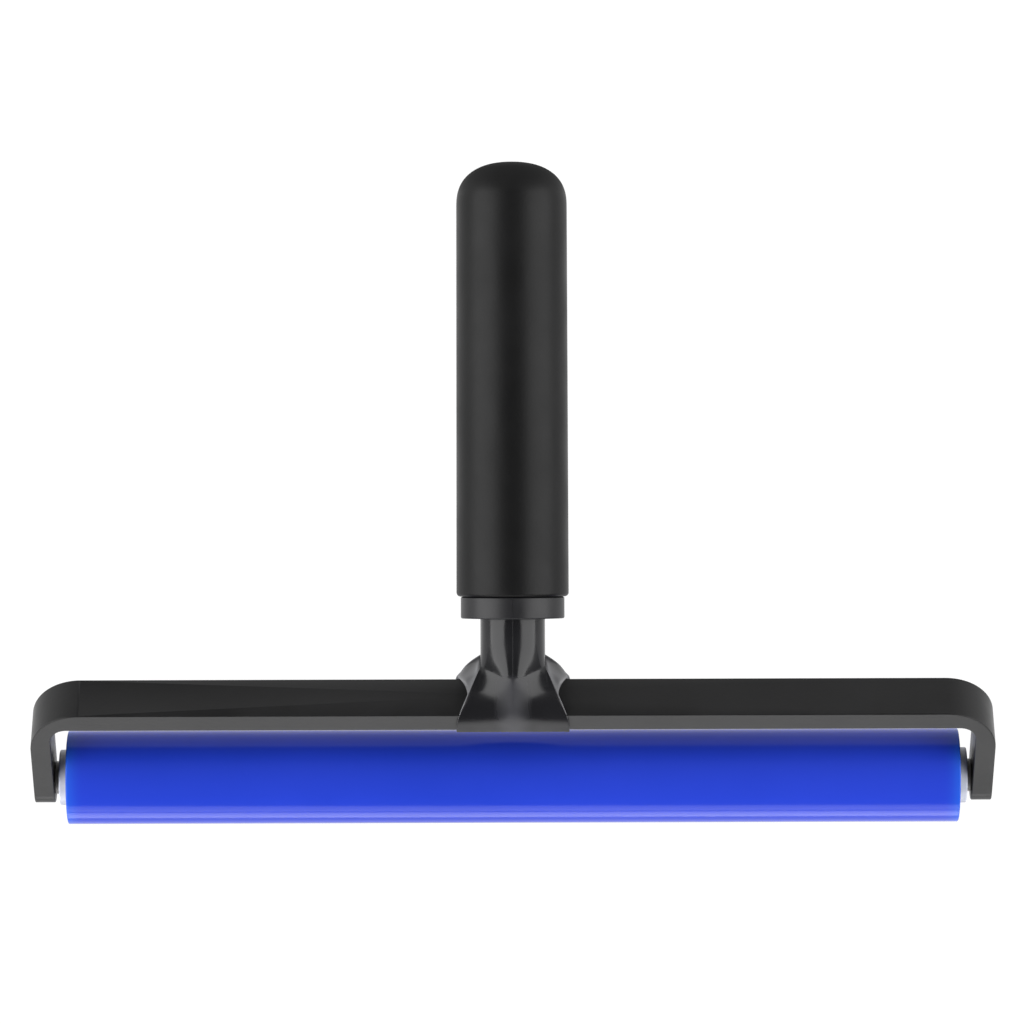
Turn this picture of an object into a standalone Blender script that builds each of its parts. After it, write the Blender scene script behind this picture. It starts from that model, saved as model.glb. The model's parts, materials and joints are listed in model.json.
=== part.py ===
"""Hand brayer: a soft roller on ball bearings in a bent flat-bar frame, with a round handle.

World frame, in metres: +X along the roller, +Y from the roller to the end of the handle, +Z up.
The brayer lies at rest on a table at Z = 0, on its roller and on the end of its grip.

Tool frame (children of the root empty): origin on the roller's axis, +Y along the handle, and
+Z square to the handle, on the side where the handle stands off from the roller.
"""

import math

import bmesh
import bpy
from mathutils import Matrix, Vector

MM = 0.001

# Roller
ROLLER_LENGTH = 250 * MM
ROLLER_RADIUS = 13.15 * MM
ROLLER_EDGE = 0.6 * MM
SLEEVE_WALL = 3.0 * MM
CORE_WALL = 1.5 * MM
CORE_INSET = 0.5 * MM

# White end plugs
HUB_RADIUS = 7.8 * MM
HUB_OUT = 2.3 * MM
HUB_EDGE = 0.3 * MM
PLUG_DEPTH = 14 * MM
PLUG_LIP = 2.2 * MM

# Ball bearings, 6 x 13 x 5 mm
BEARING_BORE = 3.1 * MM
BEARING_RADIUS = 6.5 * MM
BEARING_WIDTH = 5 * MM
BEARING_LAND_INNER = 4.15 * MM
BEARING_LAND_OUTER = 5.35 * MM
BALL_PITCH = 4.75 * MM
BALL_RADIUS = 1.15 * MM
GROOVE_RADIUS = 1.25 * MM
BALL_COUNT = 7
CAGE_INNER = 4.35 * MM
CAGE_OUTER = 5.15 * MM
CAGE_WIDTH = 3.2 * MM
POCKET_RADIUS = 1.22 * MM

# Axle and what clamps it
AXLE_RADIUS = 4 * MM
JOURNAL_RADIUS = 3 * MM
SPACER_RADIUS = 4.6 * MM
SPACER_NOSE = 4 * MM
SPACER_NOSE_LENGTH = 0.6 * MM
SCREW_RADIUS = 1.9 * MM
SCREW_HEAD_RADIUS = 3.8 * MM
SCREW_HEAD_HEIGHT = 2.2 * MM
SCREW_LENGTH = 15 * MM
SCREW_SUNK = 0.1 * MM
HEX_RADIUS = 1.3 * MM
HEX_DEPTH = 1.3 * MM
SCREW_TIP_LENGTH = 0.6 * MM
SCREW_TIP_INSET = 0.5 * MM
TAPPED_DEPTH = 12 * MM

# Bent flat-bar frame
BAR_WIDTH = 14 * MM
BAR_THICKNESS = 5.7 * MM
BAR_EDGE = 0.35 * MM
ARM_INNER_X = 128.6 * MM
BEND_INNER_RADIUS = 4.6 * MM
BEND_OUTER_RADIUS = 14 * MM
AXLE_TO_BAR = 29.6 * MM
BAR_TILT = math.radians(45)
ARM_END_CLEARANCE = 0.01 * MM

# Handle, measured along its axis from the middle of the bar
GRIP_BOTTOM = 29.9 * MM
GRIP_TOP = 150.6 * MM
GRIP_BOTTOM_RADIUS = 15.6 * MM
GRIP_TOP_RADIUS = 15.35 * MM
GRIP_EDGE = 1.1 * MM
DOME_HEIGHT = 12.5 * MM
DOME_FLATNESS = 2.5
DOME_SHOULDER = 2.3
COLLAR_BOTTOM = 23.8 * MM
COLLAR_RADIUS = 14.4 * MM
COLLAR_EDGE = 0.4 * MM
POST_RADIUS = 9 * MM
TANG_RADIUS = 7 * MM
TANG_TOP = 118 * MM

# Saddle, where the post spreads out over the bar between four edges
SADDLE_START = 11.1 * MM
START_SLOPE_FRONT = 0.42
START_SLOPE_REAR = 0.8
SADDLE_FRONT_X = 15.5 * MM
SADDLE_REAR_X = 15.9 * MM
SADDLE_WAIST_X = 12.9 * MM
SADDLE_WALL = 0.85 * MM
FRONT_EDGE_TURN = math.radians(8)
REAR_EDGE_TURN = math.radians(-24)
FRONT_EDGE_EASE = 0.72
REAR_EDGE_EASE = 2.1
WAIST_EASE = 1.9
WAIST_CURVE = 2.2
RIDGE_SHARE = 0.2
RIDGE_ROUNDING = 0.07
POST_PINCH = 0.7
PINCH_HEIGHT = 5 * MM
FACE_STEPS = 10
SADDLE_RINGS = 10
SADDLE_SCREW_X = 6.5 * MM
SADDLE_SCREW_BACK = 1 * MM
SADDLE_SCREW_RADIUS = 1.5 * MM
SADDLE_SCREW_HEAD = 3.1 * MM
SADDLE_SCREW_LENGTH = 8.4 * MM
PILOT_TOP = 6.2 * MM

# Gaps between pieces that touch, seat in each other, or run past each other
SEAT_GAP = 0.1 * MM
REST_GAP = 0.3 * MM
RUN_GAP = 0.6 * MM

# How far a cutter goes past the face that it cuts
OVERCUT = 1 * MM

SLEEVE_STEPS = 48
BEARING_STEPS = 32
CAGE_STEPS = 28
POCKET_STEPS = 12
SMALL_STEPS = 20
HANDLE_STEPS = 40

CORE_RADIUS = ROLLER_RADIUS - SLEEVE_WALL - SEAT_GAP
CORE_BORE = CORE_RADIUS - CORE_WALL
HALF_ROLLER = ROLLER_LENGTH / 2
HUB_FACE = HALF_ROLLER + HUB_OUT
BEARING_OUT = HUB_FACE - PLUG_LIP - SEAT_GAP
BEARING_IN = BEARING_OUT - BEARING_WIDTH
ARM_OUTER_X = ARM_INNER_X + BAR_THICKNESS
BAR_HALF_WIDTH = BAR_WIDTH / 2
BAR_HALF_THICKNESS = BAR_THICKNESS / 2
COLLAR_TOP = GRIP_BOTTOM - REST_GAP


def clear_scene():
    for obj in list(bpy.data.objects):
        bpy.data.objects.remove(obj, do_unlink=True)


def material(name, colour, roughness, metallic=0.0):
    made = bpy.data.materials.new(name)
    made.use_nodes = True
    shader = made.node_tree.nodes["Principled BSDF"]
    shader.inputs["Base Color"].default_value = (*colour, 1.0)
    shader.inputs["Roughness"].default_value = roughness
    shader.inputs["Metallic"].default_value = metallic
    return made


def collection(name):
    made = bpy.data.collections.new(name)
    bpy.context.scene.collection.children.link(made)
    return made


def empty(name, parent=None, location=(0, 0, 0), rotation=(0, 0, 0)):
    made = bpy.data.objects.new(name, None)
    made.empty_display_size = 0.01
    made.parent = parent
    made.location = location
    made.rotation_euler = rotation
    PARTS.objects.link(made)
    return made


def place(obj, parent, location=(0, 0, 0), rotation=(0, 0, 0), finish=None):
    """Parent a piece to an empty and give it its finish."""
    obj.parent = parent
    obj.location = location
    obj.rotation_euler = rotation
    if finish is not None:
        obj.data.materials.append(finish)
    return obj


def mesh_object(name, shape, home):
    """A new object in a collection from a bmesh, which is freed."""
    mesh = bpy.data.meshes.new(name)
    shape.to_mesh(mesh)
    shape.free()
    obj = bpy.data.objects.new(name, mesh)
    home.objects.link(obj)
    return obj


def turned(name, profile, steps, ring=False):
    """A body turned about Z from (radius, height) points that run down its outer side.

    A ring's profile is a closed loop; otherwise it starts and ends on the axis.
    """
    shape = bmesh.new()
    points = [shape.verts.new((radius, 0, height)) for radius, height in profile]
    for first, second in zip(points, points[1:]):
        shape.edges.new((first, second))
    if ring:
        shape.edges.new((points[-1], points[0]))
    obj = mesh_object(name, shape, PARTS)
    screw = obj.modifiers.new("turn", "SCREW")
    screw.steps = steps
    screw.render_steps = steps
    screw.use_merge_vertices = True
    screw.merge_threshold = 0.00001
    screw.use_smooth_shade = True
    return obj


def make_cutter(obj):
    """Mark an object as a tool that only cuts."""
    obj.hide_render = True
    obj.display_type = "WIRE"
    return obj


def peg(name, radius, low, high, steps=SMALL_STEPS, tip_radius=None):
    """A cutter about Z from low to high; the high end may have another radius."""
    shape = bmesh.new()
    bmesh.ops.create_cone(
        shape,
        cap_ends=True,
        segments=steps,
        radius1=radius,
        radius2=radius if tip_radius is None else tip_radius,
        depth=high - low,
        matrix=Matrix.Translation((0, 0, (low + high) / 2)),
    )
    return make_cutter(mesh_object(name, shape, CUTTERS))


def box(name, size, centre=(0, 0, 0)):
    """A box cutter."""
    shape = bmesh.new()
    bmesh.ops.create_cube(shape, size=1, matrix=Matrix.Translation(centre) @ Matrix.Diagonal((*size, 1)))
    return make_cutter(mesh_object(name, shape, CUTTERS))


def combine(obj, other, operation="DIFFERENCE"):
    boolean = obj.modifiers.new(other.name, "BOOLEAN")
    boolean.operation = operation
    boolean.solver = "EXACT"
    boolean.object = other
    return obj


def arc(centre, radius, start, end, count):
    """Points on an arc in a plane, angles in degrees."""
    points = []
    for index in range(count + 1):
        angle = math.radians(start + (end - start) * index / count)
        points.append((centre[0] + radius * math.cos(angle), centre[1] + radius * math.sin(angle)))
    return points


# ---------------------------------------------------------------- handle


def grip_outline():
    """Outer side of the grip, (radius, height above the bar's middle), from the top down."""
    shoulder = GRIP_TOP - DOME_HEIGHT
    points = [(0, GRIP_TOP)]
    count = 9
    for index in range(1, count + 1):
        drop = DOME_HEIGHT * (1 - math.cos(math.radians(90 * index / count)))
        level = 1 - drop / DOME_HEIGHT
        width = (1 - level ** DOME_FLATNESS) ** (1 / DOME_SHOULDER)
        points.append((GRIP_TOP_RADIUS * width, GRIP_TOP - drop))
    points[-1] = (GRIP_TOP_RADIUS, shoulder)
    edge_centre = (GRIP_BOTTOM_RADIUS - GRIP_EDGE, GRIP_BOTTOM + GRIP_EDGE)
    return points + arc(edge_centre, GRIP_EDGE, 0, -90, 3)


def lie_angle():
    """How far the handle slopes down when the roller and the grip's end touch the table."""
    angles = []
    for radius, height in grip_outline():
        along = BAR_ALONG + height
        under = BAR_OUT - radius
        angles.append(math.atan2(under, along) + math.asin(ROLLER_RADIUS / math.hypot(along, under)))
    return min(angles)


def build_grip(handle):
    bore = TANG_RADIUS + SEAT_GAP
    profile = grip_outline()
    profile += [(bore, GRIP_BOTTOM), (bore, TANG_TOP + REST_GAP), (0, TANG_TOP + REST_GAP)]
    grip = turned("grip", profile, HANDLE_STEPS)
    place(grip, handle, finish=material("grip_rubber", (0.016, 0.016, 0.017), 0.55))


def post_point(face, share, pinch):
    """(x, y) round the post; the pinch presses its front and rear into facets beside a ridge."""
    spans = {
        "right": (REAR_EDGE_TURN, FRONT_EDGE_TURN),
        "front": (FRONT_EDGE_TURN, math.pi - FRONT_EDGE_TURN),
        "left": (math.pi - FRONT_EDGE_TURN, math.pi - REAR_EDGE_TURN),
        "rear": (math.pi - REAR_EDGE_TURN, 2 * math.pi + REAR_EDGE_TURN),
    }
    low, high = spans[face]
    angle = low + (high - low) * share
    x, y = POST_RADIUS * math.cos(angle), -POST_RADIUS * math.sin(angle)
    if face in ("front", "rear"):
        out = abs(x / (POST_RADIUS * math.cos(low)))
        y = faceted(y, -POST_RADIUS * math.sin(low), math.copysign(POST_RADIUS, y), out, pinch)
    return x, y


def base_point(face, share):
    """(x, across) of the saddle's outline on the bar; the sides are waisted between their corners."""
    deep = BAR_HALF_WIDTH + SEAT_GAP + SADDLE_WALL
    if face == "front":
        return SADDLE_FRONT_X * (1 - 2 * share), -deep
    if face == "rear":
        return -SADDLE_REAR_X * (1 - 2 * share), deep
    side = 1 if face == "right" else -1
    across = side * deep * (1 - 2 * share)
    corner = SADDLE_FRONT_X if across < 0 else SADDLE_REAR_X
    waist = SADDLE_WAIST_X + (corner - SADDLE_WAIST_X) * abs(across / deep) ** WAIST_CURVE
    return side * waist, across


def faceted(y, edge_y, ridge_y, out, amount):
    """A depth moved towards a facet that runs straight from the ridge (out is 0) to the edge (1)."""
    flat = math.hypot(RIDGE_SHARE, RIDGE_ROUNDING) - RIDGE_SHARE
    full = math.hypot(1 - RIDGE_SHARE, RIDGE_ROUNDING) + 1 - RIDGE_SHARE - flat
    lean = (math.hypot(out - RIDGE_SHARE, RIDGE_ROUNDING) + out - RIDGE_SHARE - flat) / full
    return y + (ridge_y + (edge_y - ridge_y) * lean - y) * amount


def saddle_start(face, share):
    """The point on the post where the saddle starts to open, lower at the front."""
    x, y = post_point(face, share, POST_PINCH)
    slope = START_SLOPE_FRONT if y < 0 else START_SLOPE_REAR
    return Vector((x, y, SADDLE_START + slope * y))


def way_out(face, share, down):
    """How far a point has come out sideways: the edges spread early, the waists late."""
    rear = 1 - (1 - down) ** REAR_EDGE_EASE
    if face == "front":
        return down
    if face == "rear":
        return down + (rear - down) * (2 * share - 1) ** 2
    forward = share if face == "right" else 1 - share
    near_front = max(0, 2 * forward - 1) ** 2
    near_rear = max(0, 1 - 2 * forward) ** 2
    return down * near_front + rear * near_rear + down ** WAIST_EASE * (1 - near_front - near_rear)


def saddle_point(face, share, down):
    """A point of the saddle between the post (down is 0) and the bar (1), in the handle frame."""
    from_bar = Matrix.Rotation(BAR_TILT, 4, "X")
    start = saddle_start(face, share)
    x, across = base_point(face, share)
    base = from_bar @ Vector((x, across, BAR_HALF_THICKNESS))
    point = start.lerp(base, down)
    point.x = start.x + (base.x - start.x) * way_out(face, share, down)
    early = down ** FRONT_EDGE_EASE
    if face in ("front", "rear"):
        edge = saddle_start(face, 0)
        edge_x = edge.x + (base_point(face, 0)[0] - edge.x) * way_out(face, 0, down)
        edge_y = edge.y + (base.y - edge.y) * (early if face == "front" else down)
        ridge_y = saddle_start(face, 0.5).y * (1 - down) + base.y * down
        settled = 1 - (1 - down) ** 2
        point.y = faceted(point.y, edge_y, ridge_y, min(1, abs(point.x / edge_x)), settled)
    else:
        forward = share if face == "right" else 1 - share
        edge = saddle_start("front", 0)
        corner = from_bar @ Vector((0, -abs(base_point("front", 0)[1]), BAR_HALF_THICKNESS))
        point.y += (corner.y - edge.y) * (early - down) * max(0, 2 * forward - 1) ** 2
    return point


def saddle_rings():
    """Rings of points down the post and out over the bar, in the handle frame.

    +Z runs up the handle, and -Y is the side where the handle stands off from the roller. The
    post ends in a sloping ring, and from there the rings open to the outline over the bar.
    """
    faces = ("right", "front", "left", "rear")
    keys = [(face, index / FACE_STEPS) for face in faces for index in range(FACE_STEPS)]
    rings = [[], []]
    for face, share in keys:
        x, y = post_point(face, share, 0)
        rings[0].append(Vector((x, y, COLLAR_BOTTOM + OVERCUT)))
        rings[1].append(Vector((x, y, saddle_start(face, share).z + PINCH_HEIGHT)))
    for level in range(SADDLE_RINGS + 1):
        rings.append([saddle_point(face, share, level / SADDLE_RINGS) for face, share in keys])
    wall = Matrix.Rotation(BAR_TILT, 3, "X") @ Vector((0, 0, -BAR_THICKNESS))
    rings.append([point + wall for point in rings[-1]])
    return rings


def build_neck(handle, bar):
    """Tang and collar are turned; the post and the saddle over the bar are lofted and joined on."""
    profile = [
        (0, TANG_TOP),
        (TANG_RADIUS, TANG_TOP),
        (TANG_RADIUS, COLLAR_TOP),
        (COLLAR_RADIUS - COLLAR_EDGE, COLLAR_TOP),
        (COLLAR_RADIUS, COLLAR_TOP - COLLAR_EDGE),
        (COLLAR_RADIUS, COLLAR_BOTTOM + COLLAR_EDGE),
        (COLLAR_RADIUS - COLLAR_EDGE, COLLAR_BOTTOM),
        (0, COLLAR_BOTTOM),
    ]
    neck = turned("neck", profile, HANDLE_STEPS)
    place(neck, handle, finish=material("neck_plastic", (0.02, 0.02, 0.022), 0.2))

    shape = bmesh.new()
    rings = [[shape.verts.new(point) for point in ring] for ring in saddle_rings()]
    for upper, lower in zip(rings, rings[1:]):
        for index, corner in enumerate(upper):
            after = (index + 1) % len(upper)
            shape.faces.new((corner, upper[after], lower[after], lower[index]))
    shape.faces.new(rings[0])
    shape.faces.new(list(reversed(rings[-1])))
    bmesh.ops.recalc_face_normals(shape, faces=shape.faces)
    saddle = make_cutter(mesh_object("saddle_form", shape, CUTTERS))
    saddle.parent = handle
    combine(neck, saddle, "UNION")

    channel_width = BAR_WIDTH + 2 * SEAT_GAP
    channel_depth = BAR_THICKNESS + SEAT_GAP + OVERCUT
    channel_middle = BAR_HALF_THICKNESS + SEAT_GAP - channel_depth / 2
    channel = box("channel", (4 * SADDLE_REAR_X, channel_width, channel_depth), (0, 0, channel_middle))
    channel.parent = bar
    combine(neck, channel)
    for side, x in SCREW_PLACES:
        pilot = peg(f"pilot_{side}", SADDLE_SCREW_RADIUS + SEAT_GAP, -BAR_HALF_THICKNESS, PILOT_TOP)
        pilot.parent = bar
        pilot.location = (x, SADDLE_SCREW_BACK, 0)
        combine(neck, pilot)


# ---------------------------------------------------------------- frame


def bar_path_outline():
    """The bent bar seen from its edge: (x, height above the axle), outer side then inner side."""
    top = AXLE_TO_BAR + BAR_HALF_THICKNESS
    foot = -BAR_WIDTH
    outer = [(ARM_OUTER_X, foot)]
    outer += arc((ARM_OUTER_X - BEND_OUTER_RADIUS, top - BEND_OUTER_RADIUS), BEND_OUTER_RADIUS, 0, 90, 12)
    outer += [(-x, height) for x, height in reversed(outer)]
    inner = [(-ARM_INNER_X, foot)]
    centre = (BEND_INNER_RADIUS - ARM_INNER_X, top - BAR_THICKNESS - BEND_INNER_RADIUS)
    inner += arc(centre, BEND_INNER_RADIUS, 180, 90, 7)
    inner += [(-x, height) for x, height in reversed(inner)]
    return outer + inner


def build_frame_bar(axle_frame, bar):
    """A flat outline with thickness along the bar's width, with rounded arm ends and screw holes."""
    curve = bpy.data.curves.new("bar_outline", "CURVE")
    curve.dimensions = "2D"
    curve.fill_mode = "BOTH"
    curve.extrude = BAR_HALF_WIDTH
    spline = curve.splines.new("POLY")
    outline = bar_path_outline()
    spline.points.add(len(outline) - 1)
    for point, (x, height) in zip(spline.points, outline):
        point.co = (x, height, 0, 1)
    spline.use_cyclic_u = True
    flat = bpy.data.objects.new("bar_outline", curve)
    PARTS.objects.link(flat)
    bpy.context.view_layer.update()
    mesh = bpy.data.meshes.new_from_object(flat.evaluated_get(bpy.context.evaluated_depsgraph_get()))
    bpy.data.objects.remove(flat, do_unlink=True)

    shape = bmesh.new()
    shape.from_mesh(mesh)
    bpy.data.meshes.remove(mesh)
    bmesh.ops.remove_doubles(shape, verts=shape.verts, dist=0.000001)
    upright = Matrix.Rotation(math.radians(90), 3, "X")
    bmesh.ops.rotate(shape, verts=shape.verts, cent=(0, 0, 0), matrix=upright)
    bmesh.ops.dissolve_limit(shape, angle_limit=0.001, verts=shape.verts, edges=shape.edges)
    bmesh.ops.recalc_face_normals(shape, faces=shape.faces)
    frame_bar = mesh_object("frame_bar", shape, PARTS)
    place(frame_bar, axle_frame, finish=material("frame_coating", (0.028, 0.028, 0.029), 0.5))

    reach = AXLE_TO_BAR + BAR_THICKNESS
    radius = BAR_HALF_WIDTH + ARM_END_CLEARANCE
    ends = [(-radius, reach)] + arc((0, 0), radius, 180, 360, 18) + [(radius, reach)]
    rounding = prism("arm_rounding", ends, ARM_OUTER_X + OVERCUT)
    rounding.parent = axle_frame
    combine(frame_bar, rounding, "INTERSECT")

    bevel = frame_bar.modifiers.new("edges", "BEVEL")
    bevel.width = BAR_EDGE
    bevel.segments = 1
    bevel.limit_method = "ANGLE"
    bevel.angle_limit = math.radians(50)
    bevel.use_clamp_overlap = False

    for side, sign in SIDES:
        hole = peg(f"arm_hole_{side}", SCREW_RADIUS + REST_GAP, ARM_INNER_X - OVERCUT, ARM_OUTER_X + OVERCUT)
        sink_low = ARM_OUTER_X - SCREW_HEAD_HEIGHT - SCREW_SUNK
        sink = peg(
            f"arm_sink_{side}",
            SCREW_RADIUS + REST_GAP,
            sink_low,
            ARM_OUTER_X + SEAT_GAP,
            tip_radius=SCREW_HEAD_RADIUS + REST_GAP,
        )
        for cutter in (hole, sink):
            cutter.parent = axle_frame
            cutter.rotation_euler = (0, sign * math.radians(90), 0)
            combine(frame_bar, cutter)
    through = BAR_HALF_THICKNESS + OVERCUT
    for side, x in SCREW_PLACES:
        hole = peg(f"bar_hole_{side}", SADDLE_SCREW_RADIUS + SEAT_GAP, -through, through)
        sink = peg(
            f"bar_sink_{side}",
            SADDLE_SCREW_HEAD + REST_GAP,
            -BAR_HALF_THICKNESS - SEAT_GAP,
            -BAR_HALF_THICKNESS + SADDLE_SCREW_HEAD - SADDLE_SCREW_RADIUS,
            tip_radius=SADDLE_SCREW_RADIUS + SEAT_GAP,
        )
        for cutter in (hole, sink):
            cutter.parent = bar
            cutter.location = (x, SADDLE_SCREW_BACK, 0)
            combine(frame_bar, cutter)


def prism(name, outline, half_length):
    """A cutter with an outline of (across, height) points, extruded both ways along X."""
    shape = bmesh.new()
    near = [shape.verts.new((-half_length, across, height)) for across, height in outline]
    face = shape.faces.new(near)
    grown = bmesh.ops.extrude_face_region(shape, geom=[face])
    far = [item for item in grown["geom"] if isinstance(item, bmesh.types.BMVert)]
    bmesh.ops.translate(shape, vec=(2 * half_length, 0, 0), verts=far)
    bmesh.ops.recalc_face_normals(shape, faces=shape.faces)
    return make_cutter(mesh_object(name, shape, CUTTERS))


def countersunk_screw(name, radius, head_radius, head_height, length):
    """A flat-headed screw about Z, head face at the origin, shank going down, with a hex socket."""
    profile = [
        (0, 0),
        (head_radius, 0),
        (radius, -head_height),
        (radius, -length + SCREW_TIP_LENGTH),
        (radius - SCREW_TIP_INSET, -length),
        (0, -length),
    ]
    screw = turned(name, profile, SMALL_STEPS)
    socket = peg(f"{name}_socket", HEX_RADIUS, -HEX_DEPTH, OVERCUT, steps=6)
    socket.parent = screw
    return combine(screw, socket)


def build_saddle_screws(bar):
    finish = material("screw_steel", (0.35, 0.35, 0.36), 0.35, 1.0)
    head = SADDLE_SCREW_HEAD - SADDLE_SCREW_RADIUS
    for side, x in SCREW_PLACES:
        screw = countersunk_screw(
            f"saddle_screw_{side}", SADDLE_SCREW_RADIUS, SADDLE_SCREW_HEAD, head, SADDLE_SCREW_LENGTH
        )
        low = -BAR_HALF_THICKNESS + SCREW_SUNK
        place(screw, bar, (x, SADDLE_SCREW_BACK, low), (math.radians(180), 0, 0), finish)


# ---------------------------------------------------------------- roller


def build_roller(axle_frame):
    turn = (0, math.radians(90), 0)
    bore = ROLLER_RADIUS - SLEEVE_WALL
    round_end = arc((ROLLER_RADIUS - ROLLER_EDGE, HALF_ROLLER - ROLLER_EDGE), ROLLER_EDGE, 90, 0, 3)
    profile = round_end + [(radius, -height) for radius, height in reversed(round_end)]
    profile += [(bore, -HALF_ROLLER), (bore, HALF_ROLLER)]
    sleeve = turned("roller_sleeve", profile, SLEEVE_STEPS, ring=True)
    place(sleeve, axle_frame, rotation=turn, finish=material("blue_rubber", (0.02, 0.045, 0.55), 0.3))

    half = HALF_ROLLER - CORE_INSET
    tube = [(CORE_RADIUS, half), (CORE_RADIUS, -half), (CORE_BORE, -half), (CORE_BORE, half)]
    core = turned("core_tube", tube, BEARING_STEPS, ring=True)
    place(core, axle_frame, rotation=turn, finish=material("aluminium", (0.7, 0.7, 0.71), 0.35, 1.0))


def build_end_plug(side, end):
    """White plug in the end of the core tube: a hub outside, a bearing pocket open to the inside."""
    body = CORE_BORE - SEAT_GAP
    pocket = BEARING_RADIUS + SEAT_GAP
    mouth = SPACER_RADIUS + RUN_GAP
    profile = [
        (mouth, HUB_FACE),
        (HUB_RADIUS - HUB_EDGE, HUB_FACE),
        (HUB_RADIUS, HUB_FACE - HUB_EDGE),
        (HUB_RADIUS, HALF_ROLLER),
        (body, HALF_ROLLER),
        (body, HALF_ROLLER - PLUG_DEPTH),
        (pocket, HALF_ROLLER - PLUG_DEPTH),
        (pocket, HUB_FACE - PLUG_LIP),
        (mouth, HUB_FACE - PLUG_LIP),
    ]
    plug = turned(f"end_plug_{side}", profile, BEARING_STEPS, ring=True)
    place(plug, end, finish=WHITE_PLASTIC)


def groove(land, sign):
    """Points of a ball groove in a land, from its outer end down; sign is +1 in the outer ring."""
    depth = sign * (land - BALL_PITCH)
    opening = math.degrees(math.acos(depth / GROOVE_RADIUS))
    middle = 0 if sign > 0 else 180
    centre = (BALL_PITCH, 0)
    return arc(centre, GROOVE_RADIUS, middle + sign * opening, middle - sign * opening, 4)


def build_bearing(side, end, steel, cage_finish):
    """Outer ring, inner ring, cage and balls, about the origin of an empty in the bearing's middle."""
    centre = empty(f"bearing_{side}", end, (0, 0, (BEARING_IN + BEARING_OUT) / 2))
    half = BEARING_WIDTH / 2
    outer = [(BEARING_RADIUS, half), (BEARING_RADIUS, -half), (BEARING_LAND_OUTER, -half)]
    outer += list(reversed(groove(BEARING_LAND_OUTER, 1)))
    outer += [(BEARING_LAND_OUTER, half)]
    place(turned(f"bearing_outer_{side}", outer, BEARING_STEPS, ring=True), centre, finish=steel)
    inner = [(BEARING_LAND_INNER, half)]
    inner += groove(BEARING_LAND_INNER, -1)
    inner += [(BEARING_LAND_INNER, -half), (BEARING_BORE, -half), (BEARING_BORE, half)]
    place(turned(f"bearing_inner_{side}", inner, BEARING_STEPS, ring=True), centre, finish=steel)

    wide = CAGE_WIDTH / 2
    band = [(CAGE_OUTER, wide), (CAGE_OUTER, -wide), (CAGE_INNER, -wide), (CAGE_INNER, wide)]
    cage = turned(f"bearing_cage_{side}", band, CAGE_STEPS, ring=True)
    place(cage, centre, finish=cage_finish)
    for index in range(BALL_COUNT):
        angle = math.pi / 2 + 2 * math.pi * index / BALL_COUNT
        low, high = CAGE_INNER - OVERCUT, CAGE_OUTER + OVERCUT
        pocket = peg(f"pocket_{side}_{index + 1}", POCKET_RADIUS, low, high, POCKET_STEPS)
        pocket.parent = centre
        pocket.rotation_euler = (0, math.radians(90), angle)
        combine(cage, pocket)
        shape = bmesh.new()
        bmesh.ops.create_icosphere(shape, subdivisions=2, radius=BALL_RADIUS)
        ball = mesh_object(f"ball_{side}_{index + 1}", shape, PARTS)
        ball.data.shade_smooth()
        spot = (BALL_PITCH * math.cos(angle), BALL_PITCH * math.sin(angle), 0)
        place(ball, centre, spot, finish=steel)


def build_axle(axle_frame, ends):
    """A rod with a journal and a tapped hole at each end, two spacers and two flush screws."""
    steel = material("axle_steel", (0.5, 0.5, 0.51), 0.3, 1.0)
    black = material("spacer_plastic", (0.02, 0.02, 0.02), 0.4)
    tip = ARM_INNER_X - SEAT_GAP
    shoulder = BEARING_IN - SEAT_GAP
    half = [(JOURNAL_RADIUS, tip), (JOURNAL_RADIUS, shoulder), (AXLE_RADIUS, shoulder)]
    profile = [(0, tip)] + half + [(r, -x) for r, x in reversed(half)] + [(0, -tip)]
    axle = turned("axle", profile, SMALL_STEPS)
    place(axle, axle_frame, rotation=(0, math.radians(90), 0), finish=steel)
    for side, end in ends.items():
        tapped = peg(f"tapped_{side}", SCREW_RADIUS + SEAT_GAP, tip - TAPPED_DEPTH, tip + OVERCUT)
        tapped.parent = end
        combine(axle, tapped)
        nose = BEARING_OUT + SEAT_GAP
        bore = JOURNAL_RADIUS + SEAT_GAP
        outline = [
            (SPACER_RADIUS, tip),
            (SPACER_RADIUS, nose + SPACER_NOSE_LENGTH),
            (SPACER_NOSE, nose + SPACER_NOSE_LENGTH),
            (SPACER_NOSE, nose),
            (bore, nose),
            (bore, tip),
        ]
        spacer = turned(f"axle_spacer_{side}", outline, SMALL_STEPS, ring=True)
        place(spacer, end, finish=black)
        screw = countersunk_screw(
            f"axle_screw_{side}", SCREW_RADIUS, SCREW_HEAD_RADIUS, SCREW_HEAD_HEIGHT, SCREW_LENGTH
        )
        place(screw, end, (0, 0, ARM_OUTER_X - SCREW_SUNK), finish=steel)


# ---------------------------------------------------------------- assembly

clear_scene()
PARTS = collection("brayer")
CUTTERS = collection("cutters")
SIDES = (("left", -1), ("right", 1))
SCREW_PLACES = tuple((side, sign * SADDLE_SCREW_X) for side, sign in SIDES)
BAR_ALONG = AXLE_TO_BAR * math.sin(BAR_TILT)
BAR_OUT = AXLE_TO_BAR * math.cos(BAR_TILT)
WHITE_PLASTIC = material("white_plastic", (0.62, 0.63, 0.68), 0.4)

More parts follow.
